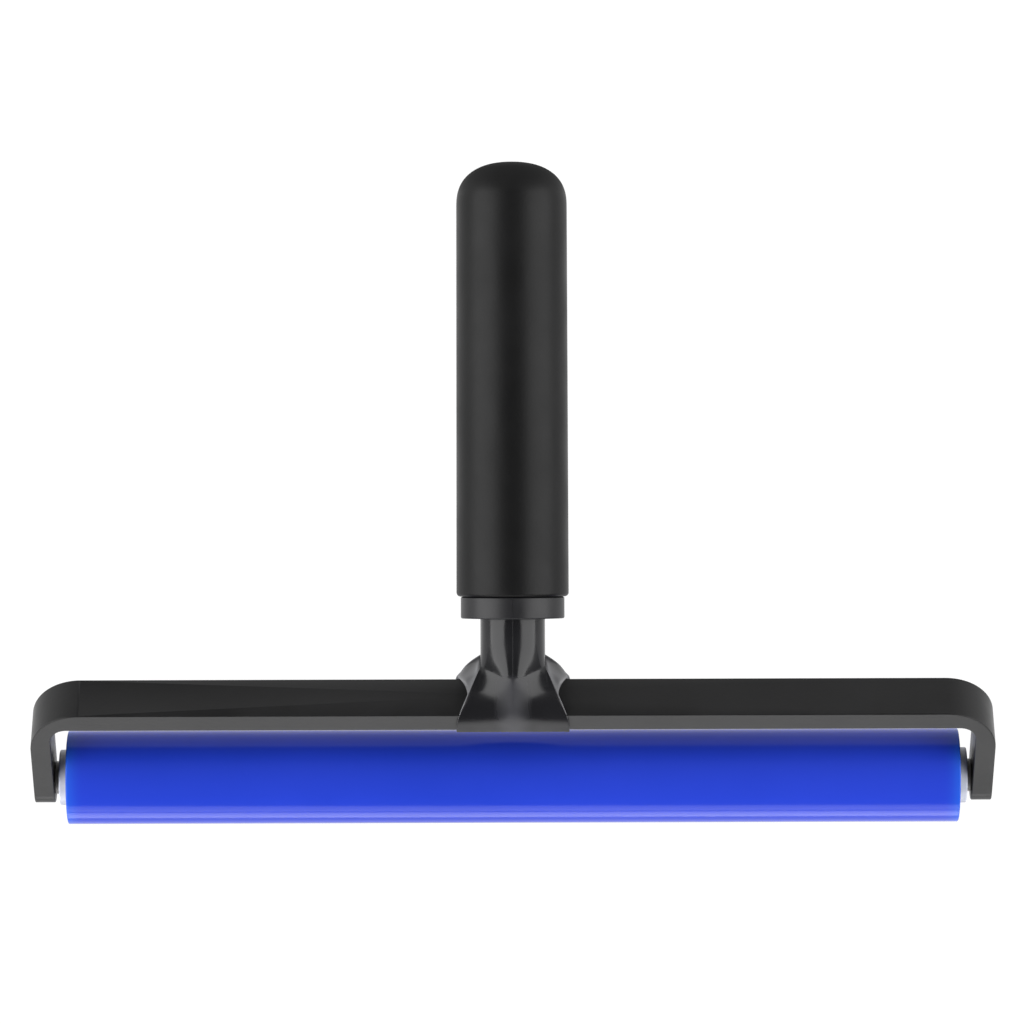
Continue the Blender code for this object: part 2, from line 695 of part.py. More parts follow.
slope = lie_angle()
far_end = max(
    (BAR_ALONG + height) * math.cos(slope) + (BAR_OUT + radius) * math.sin(slope)
    for radius, height in grip_outline()
)
root = empty("brayer_root", None, (0, (ROLLER_RADIUS - far_end) / 2, ROLLER_RADIUS), (-slope, 0, 0))
axle_frame = empty("frame_plane", root, rotation=(-BAR_TILT, 0, 0))
bar = empty("bar_middle", axle_frame, (0, 0, AXLE_TO_BAR))
handle = empty("handle_axis", root, (0, BAR_ALONG, BAR_OUT), (math.radians(-90), 0, 0))
ends = {}
for side, sign in SIDES:
    ends[side] = empty(f"end_{side}", axle_frame, rotation=(0, sign * math.radians(90), 0))

build_grip(handle)
build_neck(handle, bar)
build_frame_bar(axle_frame, bar)
build_saddle_screws(bar)
build_roller(axle_frame)
bearing_steel = material("bearing_steel", (0.6, 0.6, 0.61), 0.2, 1.0)
cage_brass = material("cage_brass", (0.6, 0.42, 0.16), 0.35, 1.0)
for side, end in ends.items():
    build_end_plug(side, end)
    build_bearing(side, end, bearing_steel, cage_brass)
build_axle(axle_frame, ends)
bpy.context.view_layer.update()
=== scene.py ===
"""Looks of the hand brayer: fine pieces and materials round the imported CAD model.

The CAD model lies on a table at Z = 0. Pieces are modelled in the tool's own frames, in metres:
the handle frame (+Z up the handle, -Y on its outer side), the plane frame of the bar and its arms
(+X along the bar, +Z from the axle to the bar) and the end frames (+Z outwards along the axle).
"""

import json
import math

import bmesh
import bpy
import numpy as np
from mathutils import Matrix, Vector


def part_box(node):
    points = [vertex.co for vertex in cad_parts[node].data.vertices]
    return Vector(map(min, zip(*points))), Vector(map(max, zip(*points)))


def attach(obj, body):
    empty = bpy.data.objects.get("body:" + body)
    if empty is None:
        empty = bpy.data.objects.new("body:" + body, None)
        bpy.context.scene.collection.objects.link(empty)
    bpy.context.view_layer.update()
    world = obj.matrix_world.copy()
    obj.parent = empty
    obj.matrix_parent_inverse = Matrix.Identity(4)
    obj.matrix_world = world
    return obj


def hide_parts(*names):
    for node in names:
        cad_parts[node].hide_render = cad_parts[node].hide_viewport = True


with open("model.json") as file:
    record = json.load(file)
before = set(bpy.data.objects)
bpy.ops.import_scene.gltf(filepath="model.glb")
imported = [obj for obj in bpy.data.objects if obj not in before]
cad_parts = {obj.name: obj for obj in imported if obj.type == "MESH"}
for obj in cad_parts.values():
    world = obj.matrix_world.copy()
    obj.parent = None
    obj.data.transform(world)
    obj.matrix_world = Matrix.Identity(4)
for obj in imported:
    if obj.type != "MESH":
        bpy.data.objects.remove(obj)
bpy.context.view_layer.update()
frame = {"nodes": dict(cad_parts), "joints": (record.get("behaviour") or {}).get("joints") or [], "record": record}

MM = 0.001
SIDES = (("left", -1), ("right", 1))
ASIDE = Vector((1, 0, 0))

# The tool's frames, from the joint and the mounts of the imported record
RECORD = frame["record"]
BAR_TILT = math.radians(45)
AXLE_TO_BAR = 29.6 * MM
joint = next(j for j in frame["joints"] if j["name"] == "roller_spin")
mount = next(m for m in RECORD["mounts"] if m["name"] == "arm_face_right")
AXIS = Vector((0, joint["pos_m"][1], joint["pos_m"][2]))
arm = Vector(mount["pos_m"]) - AXIS
LIE_ANGLE = BAR_TILT - math.atan2(arm.z, arm.y)
TOOL = Matrix.Translation(AXIS) @ Matrix.Rotation(-LIE_ANGLE, 4, "X")
PLANE = TOOL @ Matrix.Rotation(-BAR_TILT, 4, "X")
BAR_ALONG = AXLE_TO_BAR * math.sin(BAR_TILT)
BAR_OUT = AXLE_TO_BAR * math.cos(BAR_TILT)
HANDLE = TOOL @ Matrix.Translation((0, BAR_ALONG, BAR_OUT)) @ Matrix.Rotation(math.radians(-90), 4, "X")
HANDLE_UP = HANDLE.to_3x3() @ Vector((0, 0, 1))
HANDLE_FOOT = HANDLE.translation.dot(HANDLE_UP)
END = {side: PLANE @ Matrix.Rotation(sign * math.radians(90), 4, "Y") for side, sign in SIDES}

# Sizes that the pieces share
ROLLER_RADIUS = 13.15 * MM
HALF_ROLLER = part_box("roller_sleeve")[1].x
ARM_OUTER_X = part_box("frame_bar")[1].x
BAR_THICKNESS = 5.7 * MM
BAR_HALF_WIDTH = 7 * MM
ARM_INNER_X = ARM_OUTER_X - BAR_THICKNESS
BAR_HALF_THICKNESS = BAR_THICKNESS / 2
BAR_TOP = AXLE_TO_BAR + BAR_HALF_THICKNESS
BAR_GAP = 0.05 * MM
POST_RADIUS = 9 * MM
COLLAR_BOTTOM = 23.8 * MM
GRIP_TOP = 150.6 * MM
SMOOTH_ANGLE = math.radians(32)

# ---------------------------------------------------------------- camera, light and floor

SENSOR_WIDTH_MM = 36
LENS_MM = 210.9375
CAMERA_DISTANCE = 1666.5 * MM
CLIP_START = 0.05
CLIP_END = 50
VIEW_ABOVE_BAR = 53.33 * MM
VIEW_ASIDE = -0.1 * MM
VIEW_ROLL = math.radians(-0.17)

LIT_MIDDLE = (0, 0.06, 0.01)
FOOT_BOX_PLACE = (-0.47, -0.602, 0.004)

FLOOR_SIZE = 14
FLOOR_GREY = 0.06
FLOOR_GLOW = 0.96
SKY_GREY = 0.2
SKY_WHITE_BELOW = 0.12
SKY_GREY_ABOVE = 0.24
SKY_LIFT_BEHIND = 0.4


def make_camera():
    """A long lens square to the handle, with the handle upright in the picture."""
    data = bpy.data.cameras.new("camera")
    data.sensor_width = SENSOR_WIDTH_MM
    data.lens = LENS_MM
    data.clip_start = CLIP_START
    data.clip_end = CLIP_END
    camera = bpy.data.objects.new("camera", data)
    bpy.context.scene.collection.objects.link(camera)
    spot = Matrix.Translation((VIEW_ASIDE, BAR_ALONG + VIEW_ABOVE_BAR, BAR_OUT + CAMERA_DISTANCE))
    camera.matrix_world = TOOL @ spot @ Matrix.Rotation(VIEW_ROLL, 4, "Z")
    bpy.context.scene.camera = camera


def area_light(name, breadth, height, radiance):
    """A soft rectangle of light that the camera doesn't see."""
    data = bpy.data.lights.new(name, "AREA")
    data.shape = "RECTANGLE"
    data.size = breadth
    data.size_y = height
    data.energy = radiance * math.pi * breadth * height
    light = bpy.data.objects.new(name, data)
    light.visible_camera = False
    bpy.context.scene.collection.objects.link(light)
    return light


def softbox(name, turn, tilt, distance, breadth, height, radiance):
    """An area light facing the tool's middle, placed by angles in the tool frame.

    turn goes round the view axis from +X, tilt goes down from the view axis, and height is the
    side that runs up and down between the view axis and the table.
    """
    light = area_light(name, breadth, height, radiance)
    middle = Matrix.Translation(LIT_MIDDLE) @ Matrix.Rotation(math.radians(turn - 90), 4, "Z")
    swing = Matrix.Rotation(math.radians(-tilt), 4, "X")
    light.matrix_world = TOOL @ middle @ swing @ Matrix.Translation((0, 0, distance))


def make_lights():
    """Two large boxes beside the tool, a low one in front, and one on the table that faces up."""
    beside = {"tilt": 58, "distance": 1.1, "breadth": 2.0, "height": 1.15}
    softbox("left_box", turn=180, radiance=4.85, **beside)
    softbox("right_box", turn=0, radiance=4.4, **beside)
    softbox("near_box", turn=-108, tilt=85, distance=1.1, breadth=1.7, height=0.34, radiance=3.3)
    foot = area_light("foot_box", breadth=1.5, height=0.94, radiance=4.4)
    foot.matrix_world = Matrix.Translation(FOOT_BOX_PLACE) @ Matrix.Rotation(math.pi, 4, "X")


def make_floor():
    """A plain pale floor that glows a little."""
    bpy.ops.mesh.primitive_plane_add(size=FLOOR_SIZE)
    floor = bpy.context.object
    floor.name = "floor"
    made = bpy.data.materials.new("floor_paper")
    made.use_nodes = True
    shader = made.node_tree.nodes["Principled BSDF"]
    shader.inputs["Base Color"].default_value = (FLOOR_GREY, FLOOR_GREY, FLOOR_GREY, 1)
    shader.inputs["Roughness"].default_value = 0.9
    shader.inputs["Specular IOR Level"].default_value = 0.1
    shader.inputs["Emission Color"].default_value = (1, 1, 1, 1)
    shader.inputs["Emission Strength"].default_value = FLOOR_GLOW
    floor.data.materials.append(made)


def make_sky():
    """A sky that is bright at the horizon, and dim overhead and behind."""
    world = bpy.data.worlds.new("sky")
    world.use_nodes = True
    nodes, links = world.node_tree.nodes, world.node_tree.links
    place = nodes.new("ShaderNodeTexCoord")
    parts = nodes.new("ShaderNodeSeparateXYZ")
    behind = nodes.new("ShaderNodeMath")
    behind.operation = "MAXIMUM"
    behind.inputs[1].default_value = 0
    level = nodes.new("ShaderNodeMath")
    level.operation = "MULTIPLY_ADD"
    level.inputs[1].default_value = SKY_LIFT_BEHIND
    ramp = nodes.new("ShaderNodeValToRGB")
    low, high = ramp.color_ramp.elements
    low.position, low.color = SKY_WHITE_BELOW, (1, 1, 1, 1)
    high.position, high.color = SKY_GREY_ABOVE, (SKY_GREY, SKY_GREY, SKY_GREY, 1)
    links.new(place.outputs["Generated"], parts.inputs["Vector"])
    links.new(parts.outputs["Y"], behind.inputs[0])
    links.new(behind.outputs["Value"], level.inputs[0])
    links.new(parts.outputs["Z"], level.inputs[2])
    links.new(level.outputs["Value"], ramp.inputs["Fac"])
    links.new(ramp.outputs["Color"], nodes["Background"].inputs["Color"])
    nodes["Background"].inputs["Strength"].default_value = 1.0
    bpy.context.scene.world = world
    bpy.context.scene.view_settings.view_transform = "Standard"


# ---------------------------------------------------------------- materials

# Colour sockets of the mix node
MIX_FIRST, MIX_SECOND, MIX_RESULT = 6, 7, 2


class Finish:
    """A Principled material whose colour, roughness and bump come from noise and from place."""

    def __init__(self, name, **sockets):
        self.material = bpy.data.materials.new(name)
        self.material.use_nodes = True
        self.nodes = self.material.node_tree.nodes
        self.links = self.material.node_tree.links
        self.shader = self.nodes["Principled BSDF"]
        for socket, value in sockets.items():
            self.shader.inputs[socket.replace("_", " ")].default_value = value
        self.coordinates = self.nodes.new("ShaderNodeTexCoord").outputs

    def noise(self, scale, detail=2, stretch=(1, 1, 1)):
        """Noise of about this many spots a metre, finer along the axes with a larger stretch."""
        mapping = self.nodes.new("ShaderNodeMapping")
        mapping.inputs["Scale"].default_value = stretch
        self.links.new(self.coordinates["Object"], mapping.inputs["Vector"])
        texture = self.nodes.new("ShaderNodeTexNoise")
        texture.inputs["Scale"].default_value = scale
        texture.inputs["Detail"].default_value = detail
        self.links.new(mapping.outputs["Vector"], texture.inputs["Vector"])
        return texture.outputs["Fac"]

    def span(self, source, low, high, start=0.3, end=0.7):
        """A source's values from start to end made to run from low to high, and held beyond them.

        The start and end that are set beforehand are the middle range of noise.
        """
        node = self.nodes.new("ShaderNodeMapRange")
        node.inputs["From Min"].default_value = start
        node.inputs["From Max"].default_value = end
        node.inputs["To Min"].default_value = low
        node.inputs["To Max"].default_value = high
        self.links.new(source, node.inputs["Value"])
        return node.outputs["Result"]

    def between(self, source, first, second, start=0.35, end=0.65):
        """Colour between two colours by noise."""
        ramp = self.nodes.new("ShaderNodeValToRGB")
        ramp.color_ramp.elements[0].position = start
        ramp.color_ramp.elements[0].color = (*first, 1)
        ramp.color_ramp.elements[1].position = end
        ramp.color_ramp.elements[1].color = (*second, 1)
        self.links.new(source, ramp.inputs["Fac"])
        return ramp.outputs["Color"]

    def mixed(self, share, source, colour):
        """A colour source turned towards another colour by a share."""
        node = self.nodes.new("ShaderNodeMix")
        node.data_type = "RGBA"
        node.inputs[MIX_SECOND].default_value = (*colour, 1)
        self.links.new(share, node.inputs["Factor"])
        self.links.new(source, node.inputs[MIX_FIRST])
        return node.outputs[MIX_RESULT]

    def along(self, direction, of="Object"):
        """Distance along a direction of the model, or how far the surface faces that way."""
        node = self.nodes.new("ShaderNodeVectorMath")
        node.operation = "DOT_PRODUCT"
        node.inputs[1].default_value = direction
        self.links.new(self.coordinates[of], node.inputs[0])
        return node.outputs["Value"]

    def math(self, operation, *sources):
        """One arithmetic step on one or two sources."""
        node = self.nodes.new("ShaderNodeMath")
        node.operation = operation
        for source, socket in zip(sources, node.inputs):
            self.links.new(source, socket)
        return node.outputs["Value"]

    def product(self, first, *others):
        """All the sources multiplied."""
        for other in others:
            first = self.math("MULTIPLY", first, other)
        return first

    def colour(self, source):
        self.links.new(source, self.shader.inputs["Base Color"])

    def rough(self, source):
        self.links.new(source, self.shader.inputs["Roughness"])

    def bump(self, *layers):
        """Bumps on top of each other, each (source, strength, depth in metres)."""
        before = None
        for source, strength, depth in layers:
            node = self.nodes.new("ShaderNodeBump")
            node.inputs["Strength"].default_value = strength
            node.inputs["Distance"].default_value = depth
            self.links.new(source, node.inputs["Height"])
            if before is not None:
                self.links.new(before, node.inputs["Normal"])
            before = node.outputs["Normal"]
        self.links.new(before, self.shader.inputs["Normal"])


GRIP_BLACKS = ((0.0022, 0.0022, 0.0023), (0.0036, 0.0036, 0.0037))
DOME_MATT_FROM = 9 * MM
DOME_MATT_TO = 2 * MM
DOME_EXTRA_ROUGHNESS = 0.5


def grip_rubber():
    """Matt black rubber, which grows more matt from the dome's shoulder to its end."""
    made = Finish("grip_rubber_fine", Specular_IOR_Level=0.13)
    made.colour(made.between(made.noise(38, 3), *GRIP_BLACKS))
    top = HANDLE_FOOT + GRIP_TOP
    dome = (top - DOME_MATT_FROM, top - DOME_MATT_TO)
    rubbed = made.span(made.along(HANDLE_UP), 0, DOME_EXTRA_ROUGHNESS, *dome)
    made.rough(made.math("ADD", made.span(made.noise(90, 4), 0.38, 0.46), rubbed))
    made.bump((made.noise(1500, 3), 0.25, 0.0001), (made.noise(420, 2), 0.12, 0.0001))
    return made.material


NECK_BLACKS = ((0.0045, 0.0045, 0.0052), (0.0065, 0.0065, 0.0075))
# Painted sheen: this lighter grey on the front and rear ridge stands for the side lights' highlights on it
NECK_RIDGE_PAINTED_SHEEN_GREY = (0.019, 0.019, 0.022)
# Painted reflection: this grey on the saddle's sides stands for the side lights reflected there
NECK_SIDE_PAINTED_SHEEN_GREY = (0.1, 0.1, 0.105)
# Fades on the neck, from and to: distances from its middle plane, then heights in the handle frame
RIDGE_FADE = (1 * MM, 5.5 * MM)
PAINTED_SIDE_SHEEN_FADE = (POST_RADIUS + 0.1 * MM, POST_RADIUS + 1 * MM)
RIDGE_WEAR_AND_PAINTED_SHEEN_TOP = (6 * MM, 8.5 * MM)
WORN_FOOT_TOP = (-6.5 * MM, -3 * MM)
PAINTED_SIDE_SHEEN_TOP = (COLLAR_BOTTOM - 3 * MM, COLLAR_BOTTOM)
SATIN_FROM = (COLLAR_BOTTOM - 0.5 * MM, COLLAR_BOTTOM)
# How far a surface faces sideways where its painted sheen starts, and where it is full
PAINTED_SIDE_SHEEN_FACING = (0.25, 0.5)


def neck_plastic():
    """Glossy black plastic: satin on the collar, worn matt on the ridge and foot, and lightened with painted sheen
    on the ridge and on its sideways-facing sides.
    """
    made = Finish("neck_plastic_fine", Specular_IOR_Level=0.26)
    height = made.along(HANDLE_UP)
    aside = made.math("ABSOLUTE", made.along(ASIDE))
    facing = made.math("ABSOLUTE", made.along(ASIDE, "Normal"))

    def by_height(low, high, levels):
        return made.span(height, low, high, *(HANDLE_FOOT + level for level in levels))

    # The ridge mask carries both the painted sheen grey of the ridge and its worn, matt roughness
    ridge = made.product(made.span(aside, 1, 0, *RIDGE_FADE), by_height(1, 0, RIDGE_WEAR_AND_PAINTED_SHEEN_TOP))
    # Painted reflection mask: surfaces that face sideways, below the collar and outside the post, get a grey that
    # stands for the side lights' sheen
    sides = made.product(
        made.span(facing, 0, 1, *PAINTED_SIDE_SHEEN_FACING),
        by_height(1, 0, PAINTED_SIDE_SHEEN_TOP),
        made.span(aside, 0, 1, *PAINTED_SIDE_SHEEN_FADE),
        made.span(made.noise(180, 3), 0.8, 1),
    )
    # Painted sheen: the ridge's black is lightened towards a grey that stands for the side lights' highlights
    body = made.mixed(ridge, made.between(made.noise(50, 2), *NECK_BLACKS), NECK_RIDGE_PAINTED_SHEEN_GREY)
    made.colour(made.mixed(sides, body, NECK_SIDE_PAINTED_SHEEN_GREY))
    matt = made.math("MAXIMUM", ridge, by_height(1, 0, WORN_FOOT_TOP))
    worn = made.product(matt, made.span(made.noise(220, 4), 0.26, 0.4))
    satin = by_height(0, 0.22, SATIN_FROM)
    glossy = made.span(made.noise(160, 3), 0.15, 0.22)
    made.rough(made.math("ADD", made.math("ADD", glossy, satin), worn))
    made.bump((made.noise(150, 2), 0.06, 0.0002), (made.noise(1600, 2), 0.05, 0.00003))
    return made.material


FRAME_BLACKS = ((0.0045, 0.0045, 0.0047), (0.0065, 0.0065, 0.0068))


def frame_coating():
    """Satin black paint with a fine orange peel."""
    made = Finish("frame_coating_fine", Specular_IOR_Level=0.2)
    made.colour(made.between(made.noise(30, 3), *FRAME_BLACKS))
    made.rough(made.span(made.noise(120, 4), 0.33, 0.41))
    made.bump((made.noise(1100, 4), 0.2, 0.0001), (made.noise(260, 2), 0.1, 0.0001))
    return made.material


ROLLER_BLUES = ((0.0095, 0.0275, 0.31), (0.012, 0.031, 0.34))
# Painted glow: a paler blue that stands for the side light caught on the roller's rounded ends
ROLLER_END_PAINTED_GLOW_BLUE = (0.012, 0.068, 0.4)
END_GLOW_LENGTH = 5 * MM


def blue_rubber():
    """Smooth blue rubber with a painted glow of paler blue over the last millimetres at both ends, standing for
    light caught there.
    """
    made = Finish("blue_rubber_fine", Specular_IOR_Level=0.17)
    body = made.between(made.noise(14, 3), *ROLLER_BLUES)
    aside = made.math("ABSOLUTE", made.along(ASIDE))
    # Painted glow: strongest at the very ends, fading inwards over the last millimetres
    edge = made.span(aside, 0, 1, HALF_ROLLER - END_GLOW_LENGTH, HALF_ROLLER)
    glow = made.product(edge, edge, made.span(made.noise(14, 3), 0.8, 1))
    made.colour(made.mixed(glow, body, ROLLER_END_PAINTED_GLOW_BLUE))
    made.rough(made.span(made.noise(60, 4), 0.13, 0.17))
    made.bump((made.noise(900, 3), 0.06, 0.00004))
    return made.material


PLUG_WHITES = ((0.32, 0.335, 0.385), (0.37, 0.385, 0.435))


def white_plastic():
    """Moulded white plastic, a little bluish."""
    made = Finish("white_plastic_fine", Specular_IOR_Level=0.5)
    made.colour(made.between(made.noise(300, 3), *PLUG_WHITES))
    made.rough(made.span(made.noise(500, 3), 0.32, 0.45))
    made.bump((made.noise(2500, 2), 0.15, 0.00004))
    return made.material


SPACER_GREYS = ((0.2, 0.195, 0.19), (0.26, 0.253, 0.247))


def spacer_plastic():
    """Moulded grey plastic."""
    made = Finish("spacer_plastic_fine", Specular_IOR_Level=0.5)
    made.colour(made.between(made.noise(600, 3), *SPACER_GREYS))
    made.rough(made.span(made.noise(700, 3), 0.3, 0.42))
    made.bump((made.noise(2500, 2), 0.2, 0.00004))
    return made.material


def metal(name, dark, light, roughness, stretch=(1, 1, 1)):
    """Turned or drawn metal, with fine marks drawn out along the axis of least stretch."""
    made = Finish(name, Metallic=1.0)
    made.colour(made.between(made.noise(250, 3, stretch), dark, light))
    made.rough(made.span(made.noise(400, 4, stretch), *roughness))
    made.bump((made.noise(900, 3, stretch), 0.15, 0.00003))
    return made.material


# ---------------------------------------------------------------- shapes

CORNER_STEPS = 5


def show(name, mesh, matrix, body, finish, replaced):
    """Puts a finished mesh in the scene as a piece that stands for CAD nodes."""
    mesh.transform(matrix)
    piece = bpy.data.objects.new(name, mesh)
    bpy.context.scene.collection.objects.link(piece)
    mesh.materials.clear()
    mesh.materials.append(finish)
    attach(piece, body)
    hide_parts(*replaced)


def arc(centre, radius, start, end, count):
    """Points on an arc in a plane, angles in degrees."""
    angles = np.radians(np.linspace(start, end, count + 1))
    return [(centre[0] + radius * math.cos(a), centre[1] + radius * math.sin(a)) for a in angles]


def rounded(points, radii, closed=True):
    """A polyline's corners rounded, each with its own radius (0 keeps the corner)."""
    made = []
    last = len(points) - 1
    for index, (corner, radius) in enumerate(zip(points, radii)):
        if radius == 0 or (not closed and index in (0, last)):
            made.append(corner)
            continue
        here = Vector(corner)
        back = (Vector(points[index - 1]) - here).normalized()
        ahead = (Vector(points[(index + 1) % len(points)]) - here).normalized()
        half = back.angle(ahead) / 2
        reach = radius / math.tan(half)
        middle = here + (back + ahead).normalized() * radius / math.sin(half)
        first = here + back * reach - middle
        turn = first.angle_signed(here + ahead * reach - middle)
        for step in range(CORNER_STEPS + 1):
            spoke = Matrix.Rotation(-turn * step / CORNER_STEPS, 2) @ first
            made.append(tuple(middle + spoke))
    return made


def finished(shape):
    """A mesh from a bmesh, smooth with its sharp edges kept."""
    mesh = bpy.data.meshes.new("piece")
    bmesh.ops.recalc_face_normals(shape, faces=shape.faces)
    shape.to_mesh(mesh)
    shape.free()
    mesh.shade_smooth()
    mesh.set_sharp_from_angle(angle=SMOOTH_ANGLE)
    return mesh


def turned(profile, steps, ring):
    """A closed mesh turned about Z from (radius, height) points that run down its outer side.

    A ring's profile is a closed outline. Otherwise its first and last points are on the axis.
    """
    shape = bmesh.new()
    outline = list(profile) if ring else list(profile[1:-1])
    circles = []
    for radius, height in outline:
        circle = []
        for step in range(steps):
            angle = 2 * math.pi * step / steps
            circle.append(shape.verts.new((radius * math.cos(angle), radius * math.sin(angle), height)))
        circles.append(circle)
    pairs = list(zip(circles, circles[1:]))
    if ring:
        pairs.append((circles[-1], circles[0]))
    for upper, lower in pairs:
        for step in range(steps):
            after = (step + 1) % steps
            shape.faces.new((upper[step], lower[step], lower[after], upper[after]))
    if not ring:
        for circle, (_, height) in ((circles[0], profile[0]), (circles[-1], profile[-1])):
            pole = shape.verts.new((0, 0, height))
            for step in range(steps):
                shape.faces.new((circle[step], circle[(step + 1) % steps], pole))
    return finished(shape)


def extruded(points, reach):
    """A closed mesh from a flat outline that is pushed out along a vector."""
    shape = bmesh.new()
    face = shape.faces.new([shape.verts.new(point) for point in points])
    grown = bmesh.ops.extrude_face_region(shape, geom=[face])
    far = [item for item in grown["geom"] if isinstance(item, bmesh.types.BMVert)]
    bmesh.ops.translate(shape, vec=reach, verts=far)
    return finished(shape)


def applied(mesh, *modifiers):
    """The mesh with modifiers applied, each (type, {settings})."""
    obj = bpy.data.objects.new("work", mesh)
    bpy.context.scene.collection.objects.link(obj)
    for kind, settings in modifiers:
        modifier = obj.modifiers.new(kind.lower(), kind)
        for key, value in settings.items():
            setattr(modifier, key, value)
    bpy.context.view_layer.update()
    made = bpy.data.meshes.new_from_object(obj.evaluated_get(bpy.context.evaluated_depsgraph_get()))
    bpy.data.objects.remove(obj, do_unlink=True)
    made.shade_smooth()
    made.set_sharp_from_angle(angle=SMOOTH_ANGLE)
    return made


def boolean(mesh, tools, operation="DIFFERENCE"):
    """The mesh joined, cut or crossed with tools, each (mesh, place)."""
    steps = []
    for tool, place in tools:
        obj = bpy.data.objects.new("cutter", tool)
        bpy.context.scene.collection.objects.link(obj)
        obj.matrix_world = place
        steps.append(("BOOLEAN", {"operation": operation, "solver": "EXACT", "object": obj}))
    made = applied(mesh, *steps)
    for _, settings in steps:
        bpy.data.objects.remove(settings["object"], do_unlink=True)
    return made


# ---------------------------------------------------------------- grip

GRIP_BOTTOM = 29.9 * MM
GRIP_BOTTOM_RADIUS = 15.59 * MM
GRIP_TOP_RADIUS = 15.35 * MM
GRIP_EDGE = 1.1 * MM
GRIP_SIDE_STEPS = 12
DOME_HEIGHT = 12.5 * MM
DOME_FLATNESS = 2.5
DOME_SHOULDER = 2.3
DOME_STEPS = 30
HANDLE_STEPS = 128
TANG_RADIUS = 7 * MM
TANG_TOP = 118 * MM
BORE_GAP = 0.1 * MM
BORE_END_GAP = 0.3 * MM


def make_grip():
    """Domed rubber grip with a soft bottom edge and a blind bore."""
    profile = [(0, GRIP_TOP)]
    for index in range(1, DOME_STEPS + 1):
        drop = DOME_HEIGHT * (1 - math.cos(math.radians(90 * index / DOME_STEPS)))
        level = max(0, 1 - drop / DOME_HEIGHT)
        width = (1 - level ** DOME_FLATNESS) ** (1 / DOME_SHOULDER)
        profile.append((GRIP_TOP_RADIUS * width, GRIP_TOP - drop))
    shoulder = GRIP_TOP - DOME_HEIGHT
    for index in range(1, GRIP_SIDE_STEPS):
        share = index / GRIP_SIDE_STEPS
        height = shoulder + (GRIP_BOTTOM + GRIP_EDGE - shoulder) * share
        profile.append((GRIP_TOP_RADIUS + (GRIP_BOTTOM_RADIUS - GRIP_TOP_RADIUS) * share, height))
    profile += arc((GRIP_BOTTOM_RADIUS - GRIP_EDGE, GRIP_BOTTOM + GRIP_EDGE), GRIP_EDGE, 0, -90, 8)
    bore = TANG_RADIUS + BORE_GAP
    bore_end = TANG_TOP + BORE_END_GAP
    profile += [(bore, GRIP_BOTTOM), (bore, bore_end), (0, bore_end)]
    mesh = turned(profile, HANDLE_STEPS, ring=False)
    show("grip_fine", mesh, HANDLE, "frame", grip_rubber(), ["grip"])


# ---------------------------------------------------------------- neck

COLLAR_TOP = 29.82 * MM
COLLAR_RADIUS = 14.4 * MM
COLLAR_EDGE = 0.45 * MM
TANG_EDGE = 1 * MM

# The post, whose front and rear are pinched from a share of its height down
POST_SHARES = (0, 0.25, 0.45, 0.55, 0.65, 0.75, 0.83, 0.9, 0.96)
POST_PINCH = 0.7
PINCH_FROM = 0.45
FRONT_EDGE_TURN = 8
REAR_EDGE_TURN = -24

# Where the saddle starts on the post, and its outline on the bar
SADDLE_START = 11.1 * MM
START_SLOPE_FRONT = 0.42
START_SLOPE_REAR = 0.8
SADDLE_FRONT_X = 15.35 * MM
SADDLE_REAR_X = 15.9 * MM
SADDLE_WAIST_X = 12.9 * MM
SADDLE_WAIST_POWER = 2.2
SADDLE_HALF_DEPTH = 7.95 * MM
SADDLE_FOOT_SPREAD = 0.4 * MM
FOOT_SPREAD_POWER = 4
BASE_RISE = 0.4 * MM

# Powers for how early the flare goes out sideways, and how early its front edges come forward
FRONT_EDGE_POWER = 1.35
SIDE_POWER = 1.9
REAR_EDGE_POWER = 2.1
EDGE_FORWARD_POWER = 0.62

# The ridge down the middle of the front and the rear, and the scoops beside it
RIDGE_SHARE = 0.2
RIDGE_BLUR = 0.07
RIDGE_RISE = 0.5 * MM
RIDGE_WIDTH = 2 * MM
RIDGE_TOP_NARROWING = 0.35
RIDGE_WIDE_AT = 0.45
RIDGE_HIGH_AT = 0.6
RIDGE_END_POWER = 8
SCOOP_DEPTH = 0.45 * MM
SCOOP_GROWTH = 1.3

# The mould seam, half way across the front and the rear
SEAM_SHARES = {0.488, 0.496, 0.504, 0.512}
SEAM_TOLERANCE = 0.001
SEAM_RISE = 0.03 * MM
SEAM_HALF_WIDTH = 0.13 * MM
SEAM_ROOT = 0.4 * MM
SEAM_END = 0.3 * MM

# Mesh steps of the saddle, and the passes that round its edges and its turn to the wall
FACE_STEPS = 40
SADDLE_LEVELS = 44
LEVEL_POWER = 1.15
WALL_LEVELS = 14
PASS_WEIGHT = 0.8
ALL_ROUND_PASSES = 3
EDGE_PASSES = 40
EDGE_SHARE = 0.1
EDGE_FADE_LEVELS = 8
WALL_BLEND = 12
FRONT_BLEND = 60
BLEND_FROM = 22
BLEND_FADE_LEVELS = 10

# The slot for the bar
SLOT_LENGTH = 0.1
SLOT_EXTRA_DEPTH = 2 * MM


def saddle_ring_keys():
    """(face, share) round the saddle: four faces, each from one edge to the next.

    Points crowd towards the edges, which are rounded afterwards, and at the mould seam.
    """
    keys = []
    for face in ("right", "front", "left", "rear"):
        shares = {0.5 - 0.5 * math.cos(math.pi * index / FACE_STEPS) for index in range(FACE_STEPS)}
        if face in ("front", "rear"):
            shares |= SEAM_SHARES
        keys += [(face, share) for share in sorted(shares)]
    return keys


def forward_share(face, share):
    """How far forward a point is, from 0 at the rear edges to 1 at the front edges."""
    return {"front": 1, "rear": 0, "right": share, "left": 1 - share}[face]


def near_front(forward):
    """1 at the front edges, falling to 0 at the middle of a side."""
    return max(0, 2 * forward - 1) ** 2


